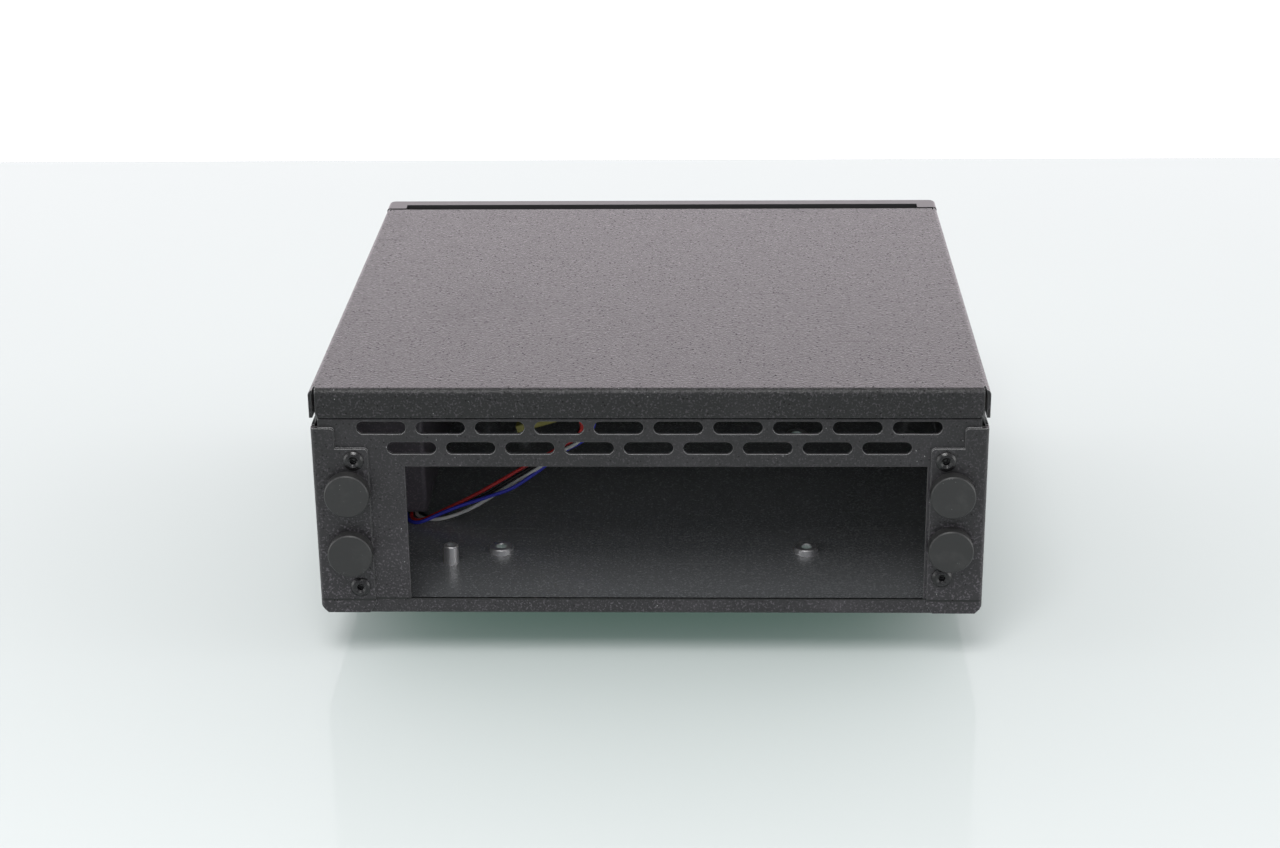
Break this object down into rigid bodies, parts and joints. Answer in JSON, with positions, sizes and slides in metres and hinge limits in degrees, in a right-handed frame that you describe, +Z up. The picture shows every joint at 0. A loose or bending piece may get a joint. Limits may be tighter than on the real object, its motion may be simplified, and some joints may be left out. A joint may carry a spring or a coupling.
{
  "type": "sheet metal computer chassis",
  "caption": "Small folded sheet steel computer chassis with a connector aperture, vent slots, rubber hole plugs, standoffs, a drive bracket, a front bezel and a sprung power button.",
  "frame": {"origin": "middle of the footprint, on the surface the feet stand on", "axes": "+Y from the rear panel to the front bezel, +X to the right seen from the rear, +Z up"},
  "size_m": [0.205, 0.2058, 0.091],
  "materials": {
    "tray_paint": "fine-textured semi-gloss black powder coat",
    "cover_paint": "fine-textured semi-gloss black powder coat",
    "bracket_paint": "fine-textured black powder coat",
    "rivet_paint": "black painted rivet",
    "bezel_plastic": "fine-grained black plastic",
    "plug_rubber": "satin black rubber, dusty",
    "foot_rubber": "matt black rubber",
    "standoff_steel": "bright zinc",
    "nut_steel": "bright nickel",
    "switch_metal": "satin nickel",
    "screw_steel": "bright zinc",
    "screw_black": "black oxide",
    "button_plastic": "satin black plastic",
    "plunger_plastic": "black nylon",
    "lamp_lens": "clear lamp",
    "holder_plastic": "black plastic",
    "pipe_plastic": "clear moulding",
    "connector_plastic": "ivory plastic",
    "lead_red": "satin insulation",
    "lead_black": "satin insulation",
    "lead_white": "satin insulation",
    "lead_blue": "satin insulation"
  },
  "bodies": {
    "chassis": {"base_tray": "tray_paint", "top_cover": "cover_paint", "front_bezel": "bezel_plastic", "drive_bracket": "bracket_paint", "bracket_rivets": "rivet_paint", "power_switch": "switch_metal", "switch_nut": "nut_steel", "power_lamp": "lamp_lens", "lamp_holder": "holder_plastic", "light_pipe": "pipe_plastic", "switch_connector": "connector_plastic", "lamp_connector": "connector_plastic", "lead_red": "lead_red", "lead_black": "lead_black", "lead_white": "lead_white", "lead_blue": "lead_blue", "tab_rivet_lower_left": "rivet_paint", "hole_plug_lower_left": "plug_rubber", "tab_rivet_lower_right": "rivet_paint", "hole_plug_lower_right": "plug_rubber", "tab_rivet_upper_left": "rivet_paint", "hole_plug_upper_left": "plug_rubber", "tab_rivet_upper_right": "rivet_paint", "hole_plug_upper_right": "plug_rubber", "board_standoff_rear_left": "standoff_steel", "mount_nut_rear_left": "standoff_steel", "foot_rear_left": "foot_rubber", "foot_screw_rear_left": "screw_steel", "cover_screw_rear_left": "screw_black", "board_standoff_rear_right": "standoff_steel", "mount_nut_rear_right": "standoff_steel", "foot_rear_right": "foot_rubber", "foot_screw_rear_right": "screw_steel", "cover_screw_rear_right": "screw_black", "board_standoff_front_left": "standoff_steel", "mount_nut_front_left": "standoff_steel", "foot_front_left": "foot_rubber", "foot_screw_front_left": "screw_steel", "cover_screw_front_left": "screw_black", "board_standoff_front_right": "standoff_steel", "mount_nut_front_right": "standoff_steel", "foot_front_right": "foot_rubber", "foot_screw_front_right": "screw_steel", "cover_screw_front_right": "screw_black"},
    "button": {"power_button": "button_plastic", "switch_plunger": "plunger_plastic"}
  },
  "joints": [
    {"name": "button_press", "type": "slide", "parent": "chassis", "child": "button", "axis": [0, -1, 0], "range_m": [0, 0.0012], "stiffness_N_per_m": 800, "springref_m": -0.0008}
  ]
}
